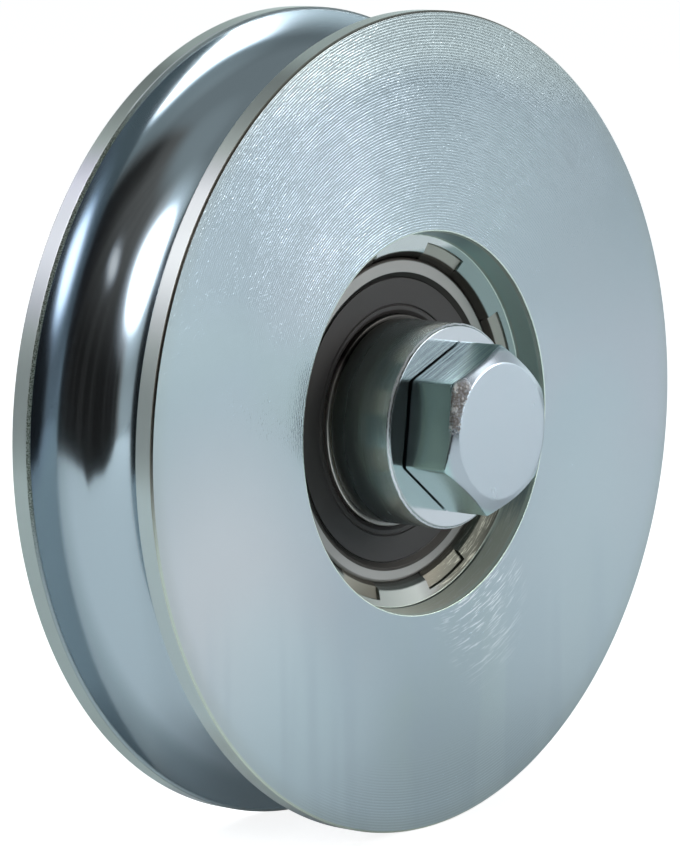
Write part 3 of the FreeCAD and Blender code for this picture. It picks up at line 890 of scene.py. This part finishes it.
class BuildSeals(bpy.types.Operator):
    """Rubber seal on each side of the bearing"""

    bl_idname = "groove_wheel.build_seals"
    bl_label = "Seals"

    def execute(self, context):
        s = sizes_mm()
        end = s["bearing_half_w"]
        neck = s["bearing_r"] - 2.58
        profile = profile_of(
            (13.03, end - 1.2),
            (13.93, end - 1.2),
            (13.93, end - 0.9),
            (neck - 0.6, end - 0.9),
            (neck - 0.6, end - 1.2),
            (neck + 0.5, end - 1.2),
            (neck + 0.5, end - 0.78),
            (neck, end - 0.53),
            (neck, end - 0.3, 0.16, 4),
            (14.28, end - 0.3, 0.08, 3),
            (14.13, end - 0.5, 0.05, 3),
            (13.98, end - 0.3, 0.08, 3),
            (13.53, end - 0.3, 0.2, 3),
            (13.03, end - 0.65, 0.08, 3),
        )
        lathed("seal_front_skin", profile, "wheel", "seal_rubber", "seal_front")
        lathed("seal_rear_skin", flipped(profile), "wheel", "seal_rubber", "seal_rear")
        return {"FINISHED"}


class BuildBushes(bpy.types.Operator):
    """Turned spacer bush on each side of the bearing"""

    bl_idname = "groove_wheel.build_bushes"
    bl_label = "Bushes"

    def execute(self, context):
        s = sizes_mm()
        base = s["bearing_half_w"]
        end = s["bush_end"]
        r = s["bush_r"]
        bore = s["shank_r"] + 0.1
        profile = profile_of(
            (bore, 0.05),
            (7.89, 0.05),
            (8.49, 0.65),
            (8.49, base),
            (r - 0.2, base),
            (r, base + 0.2, 0.08, 3),
            (r, end - 0.35, 0.1, 3),
            (r - 0.35, end, 0.1, 3),
            (bore, end, 0.1, 2),
        )
        lathed("bush_front_turned", profile, "axle", "bush_zinc", "bush_front")
        lathed("bush_rear_turned", flipped(profile), "axle", "bush_zinc", "bush_rear")
        return {"FINISHED"}


class BuildBolt(bpy.types.Operator):
    """Hex bolt with a chamfered head and a thread on its free end"""

    bl_idname = "groove_wheel.build_bolt"
    bl_label = "Bolt"

    def execute(self, context):
        s = sizes_mm()
        seat = s["bush_end"]
        top = s["head_end"] - 0.12
        shank = s["shank_r"]
        crest = shank - 0.07
        free = s["bolt_end"]
        nut_end = s["nut_end"]
        thread_from = nut_end - 0.9
        thread_to = free - 1.2
        count = int((thread_to - thread_from) / 0.11)
        points = [(0.0, top), (HEX_FLAT * 0.5, top), (HEX_FLAT - 0.3, top), (HEX_FLAT - 0.1, top)]
        points += [(HEX_FLAT, top - 0.015), *hex_chamfer(top, 26)]
        points += [(HEX_WIDE, level) for level in (top - 1.8, 19.0, 17.0, seat + 0.45, seat + 0.34)]
        points += [(HEX_WIDE - 0.05, seat + 0.3), (8.1, seat + 0.3), (7.85, seat + 0.25), (7.8, seat + 0.02)]
        points += [(shank, seat), (shank, -13.07), (PITCH_LINE_R, -13.5), (PITCH_LINE_R, -nut_end + 1.0)]
        points.append((crest, -nut_end + 0.95))
        for step in range(count + 1):
            points.append((crest, -thread_from - (thread_to - thread_from) * step / count))
        for step in range(1, 11):
            points.append((crest - 0.12 * step, -thread_to - 0.12 * step))
        points.append((0.0, -free))
        points = [Vector(point) for point in points]
        bolt = turned(
            "bolt", points, "bolt_zinc", hex_stops(), 6, math.radians(23.0),
            **{"Across Flats": s["across_flats"] * MM, "Edge Rounding": HEX_EDGE * MM,
               "Thread Pitch": s["thread_pitch"] * MM, "Thread Depth": 0.95 * MM,
               "Thread Start": thread_from * MM, "Thread End": (free + 0.2) * MM})
        mount(bolt, "axle", "bolt_zinc", "axle_bolt")
        return {"FINISHED"}


class BuildNut(bpy.types.Operator):
    """Hex nut, chamfered at both ends"""

    bl_idname = "groove_wheel.build_nut"
    bl_label = "Nut"

    def execute(self, context):
        s = sizes_mm()
        low = s["bush_end"]
        high = s["nut_end"]
        bore = 5.45
        outer = [(bore + 0.7, high), (HEX_FLAT - 0.1, high), (HEX_FLAT, high - 0.015), *hex_chamfer(high, 24)]
        lower = [(r, low + high - level) for r, level in reversed(outer)]
        points = outer + [(HEX_WIDE, (low + high) / 2)] + lower
        points += [(bore, low + 0.7), (bore, high - 0.7), points[0]]
        points = [Vector((r, -level)) for r, level in points]
        nut = turned(
            "nut", points, "bolt_zinc", hex_stops(), 6, math.radians(8.0),
            **{"Across Flats": s["across_flats"] * MM, "Edge Rounding": HEX_EDGE * MM})
        mount(nut, "axle", "bolt_zinc", "axle_nut")
        return {"FINISHED"}


class FinishInside(bpy.types.Operator):
    """Finishes on the balls, cage, rivets and stiffeners inside the bearing"""

    bl_idname = "groove_wheel.finish_inside"
    bl_label = "Balls and cage"

    def execute(self, context):
        for name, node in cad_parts.items():
            if node.hide_render:
                continue
            slot = "ball_steel" if name.startswith("ball_") else "cage_steel"
            node.data.materials.clear()
            node.data.materials.append(finish_of(slot))
        return {"FINISHED"}


class SetStudio(bpy.types.Operator):
    """Pale floor, three soft lamps, a bright room with a dim side behind the camera, and the camera"""

    bl_idname = "groove_wheel.set_studio"
    bl_label = "Studio"

    def execute(self, context):
        studio = context.scene.wheel_studio
        self.camera(context, studio)
        self.floor(context, studio)
        self.lamp("lamp_left", (151.5, 43), (0.86, 0.76), 2.2, 0.42, 0.06, studio.left_light)
        self.lamp("lamp_right", (-54, 17.5), (0.50, 0.58), 5.0, 0.58, 0.0, studio.right_light)
        self.lamp("lamp_small", (-138.5, 38.5), (0.42, 0.2), 2.0, 0.3, 0.0, 0.8)
        self.room(context)
        context.scene.view_settings.view_transform = "Standard"
        return {"FINISHED"}

    def camera(self, context, studio):
        """Camera at the photographed angle."""
        data = bpy.data.cameras.new("camera")
        data.lens = studio.lens
        data.sensor_width = 36.0
        data.sensor_fit = "AUTO"
        data.clip_start = 0.01
        eye = linked("camera", data)
        eye.location = studio.place
        eye.rotation_euler = Vector(studio.aim).to_track_quat("-Z", "Y").to_euler()
        context.scene.camera = eye

    def floor(self, context, studio):
        """Pale table whose torn paper cover ends a little before the camera."""
        level = -context.scene.wheel_sizes.wheel_r
        near = Vector((NEAR_X, NEAR_Y, 0.0))
        side = Vector((-NEAR_Y, NEAR_X, 0.0))
        edge = ((0.33, -6.0), (0.33, -0.52), (0.21, -0.25), (0.176, -0.14), (0.188, -0.095), (0.178, -0.055),
                (0.236, -0.042), (0.252, -0.02), (0.288, 0.02), (0.314, 0.10), (0.305, 0.17), (0.305, 6.0))
        corners = []
        for along, across in (*edge, (-8.0, 6.0), (-8.0, -6.0)):
            corners.append(near * along + side * across + Vector((0.0, 0.0, level)))
        mesh = bpy.data.meshes.new("floor")
        mesh.from_pydata([tuple(corner) for corner in corners], [], [tuple(range(len(corners)))])
        floor = linked("floor", mesh)
        material = bpy.data.materials.new("floor")
        sheet = Sheet(blank(material))
        path = sheet.add("ShaderNodeLightPath")
        mirrored = sheet.mirrored(path)
        seen = sheet.sum("MAXIMUM", path.out("Is Camera Ray"), mirrored * 0.12)
        pale = sheet.add("ShaderNodeBsdfDiffuse", None, {"Color": (*studio.floor, 1.0)})
        dim = sheet.add("ShaderNodeBsdfDiffuse", None, {"Color": (0.45, 0.45, 0.45, 1.0)})
        glow = sheet.add("ShaderNodeEmission", None, {"Color": (1.0, 1.0, 1.0, 1.0), "Strength": 0.87})
        white = sheet.add("ShaderNodeAddShader", None, {0: dim, 1: glow})
        surface = sheet.add("ShaderNodeMixShader", None, {0: seen, 1: pale, 2: white})
        sheet.add("ShaderNodeOutputMaterial", None, {"Surface": surface})
        mesh.materials.append(material)

    def lamp(self, name, bearing, size, square, core, skirt, light):
        """Card that adds a glow fading to its edges, towards a bearing and height in degrees."""
        turn = math.radians(bearing[0])
        rise = math.radians(bearing[1])
        away = Vector((math.cos(rise) * math.cos(turn), math.cos(rise) * math.sin(turn), math.sin(rise)))
        wide = size[0] / 2
        high = size[1] / 2
        mesh = bpy.data.meshes.new(name)
        corners = [(x * wide, y * high, 0.0) for x, y in ((-1.5, -1.5), (-1.5, 1.5), (1.5, 1.5), (1.5, -1.5))]
        mesh.from_pydata(corners, [], [(0, 1, 2, 3)])
        lamp = linked(name, mesh)
        lamp.location = away * 0.95
        lamp.rotation_euler = away.to_track_quat("Z", "Y").to_euler()
        lamp.visible_camera = False
        material = bpy.data.materials.new(name)
        sheet = Sheet(blank(material))
        place = sheet.add("ShaderNodeTexCoord", None, None, "Object")
        apart = sheet.add("ShaderNodeSeparateXYZ", None, {0: place})
        across = sheet.sum("POWER", sheet.sum("ABSOLUTE", apart / wide), square)
        along = sheet.sum("POWER", sheet.sum("ABSOLUTE", apart.out("Y") / high), square)
        reach = sheet.sum("POWER", across + along, 1 / square)
        glow = 1 - sheet.above(reach, core, 1.0) + skirt * (1 - sheet.above(reach, 0.6, 1.5))
        tint = sheet.tint(glow, (0.72, 0.84, 1.0), (1.0, 0.99, 1.0))
        clear = sheet.add("ShaderNodeBsdfTransparent")
        shine = sheet.add("ShaderNodeEmission", None, {"Color": tint, "Strength": glow * light})
        shader = sheet.add("ShaderNodeAddShader", None, {0: clear, 1: shine})
        sheet.add("ShaderNodeOutputMaterial", None, {"Surface": shader})
        mesh.materials.append(material)

    def room(self, context):
        """White backdrop that greys upwards, and a dim room on the camera's side."""
        world = bpy.data.worlds.new("room")
        context.scene.world = world
        sheet = Sheet(blank(world))
        path = sheet.add("ShaderNodeLightPath")
        look = sheet.add("ShaderNodeTexCoord", None, None, "Generated")
        apart = sheet.add("ShaderNodeSeparateXYZ", None, {0: look})
        height = apart.out("Z")
        level = sheet.sum("SQRT", 1.0001 - height * height)
        towards = (apart * NEAR_X + apart.out("Y") * NEAR_Y) / level
        dim = sheet.above(towards, 0.40, 0.58) * (1 - sheet.above(height, 0.88, 0.985))
        wall = 1 - 0.735 * sheet.above(height, 0.02, 0.55) + 0.06 * sheet.above(height, 0.92, 0.995)
        corner = (apart * -0.643 + apart.out("Y") * 0.766) / level
        wall = wall - 0.5 * wall * sheet.above(corner, 0.5, 0.85) * (1 - sheet.above(height, 0.25, 0.5))
        beside = apart * -0.58 + apart.out("Y") * 0.41 + height * 0.70
        over = apart * 0.457 + apart.out("Y") * -0.703 + height * 0.545
        halo = 0.35 * sheet.above(beside, 0.80, 0.98) + 0.16 * sheet.above(over, 0.93, 0.998)
        across = (apart * -NEAR_Y + apart.out("Y") * NEAR_X) / level
        strips = sheet.above(sheet.rings(across, 16.0, 2.0), 0.5, 0.66)
        shut = sheet.above(across, 0.4, 0.75) * (1 - sheet.above(height, 0.74, 0.88))
        lift = sheet.above(height, 0.2, 0.95) * (1 - 0.8 * shut)
        unlit = 0.014 + 0.035 * strips + 0.115 * lift
        shade = wall + (unlit - wall) * dim + halo
        mirrored = sheet.mirrored(path)
        backdrop = (1 - sheet.above(towards, -0.6, 0.0)) * (1 - sheet.above(height, 0.02, 0.3))
        seen = sheet.sum("MAXIMUM", path.out("Is Camera Ray"), mirrored * backdrop)
        shade = shade + (1 - shade) * seen
        warm = sheet.tint(dim, (0.87, 1.0, 1.05), (1.0, 0.97, 0.93))
        warm = sheet.tint(path.out("Is Camera Ray"), warm, (1.0, 1.0, 1.0))
        light = sheet.add("ShaderNodeBackground", None, {"Color": warm, "Strength": shade})
        sheet.add("ShaderNodeOutputWorld", None, {"Surface": light})


OPERATORS = (BuildWheel, BuildRings, BuildSeals, BuildBushes, BuildBolt, BuildNut, FinishInside, SetStudio)


class WheelPanel(bpy.types.Panel):
    """Lists the pieces in the 3D view's sidebar"""

    bl_idname = "VIEW3D_PT_groove_wheel"
    bl_label = "Groove wheel"
    bl_space_type = "VIEW_3D"
    bl_region_type = "UI"
    bl_category = "Groove wheel"

    def draw(self, context):
        for operator in OPERATORS:
            self.layout.operator(operator.bl_idname)
        for group in (context.scene.wheel_sizes, context.scene.wheel_finish, context.scene.wheel_studio):
            box = self.layout.box()
            for name in type(group).__annotations__:
                box.prop(group, name)


GROUPS = {"wheel_sizes": WheelSizes, "wheel_finish": WheelFinish, "wheel_studio": WheelStudio}


def register():
    """Adds the classes and the scene's settings."""
    for cls in (*GROUPS.values(), *OPERATORS, WheelPanel):
        bpy.utils.register_class(cls)
    for name, cls in GROUPS.items():
        setattr(bpy.types.Scene, name, bpy.props.PointerProperty(type=cls))


def unregister():
    """Removes the scene's settings and the classes."""
    for name in GROUPS:
        delattr(bpy.types.Scene, name)
    for cls in reversed((*GROUPS.values(), *OPERATORS, WheelPanel)):
        bpy.utils.unregister_class(cls)


def main():
    """Builds every piece and the studio."""
    register()
    bpy.ops.groove_wheel.build_wheel()
    bpy.ops.groove_wheel.build_rings()
    bpy.ops.groove_wheel.build_seals()
    bpy.ops.groove_wheel.build_bushes()
    bpy.ops.groove_wheel.build_bolt()
    bpy.ops.groove_wheel.build_nut()
    bpy.ops.groove_wheel.finish_inside()
    bpy.ops.groove_wheel.set_studio()


if __name__ == "__main__":
    main()
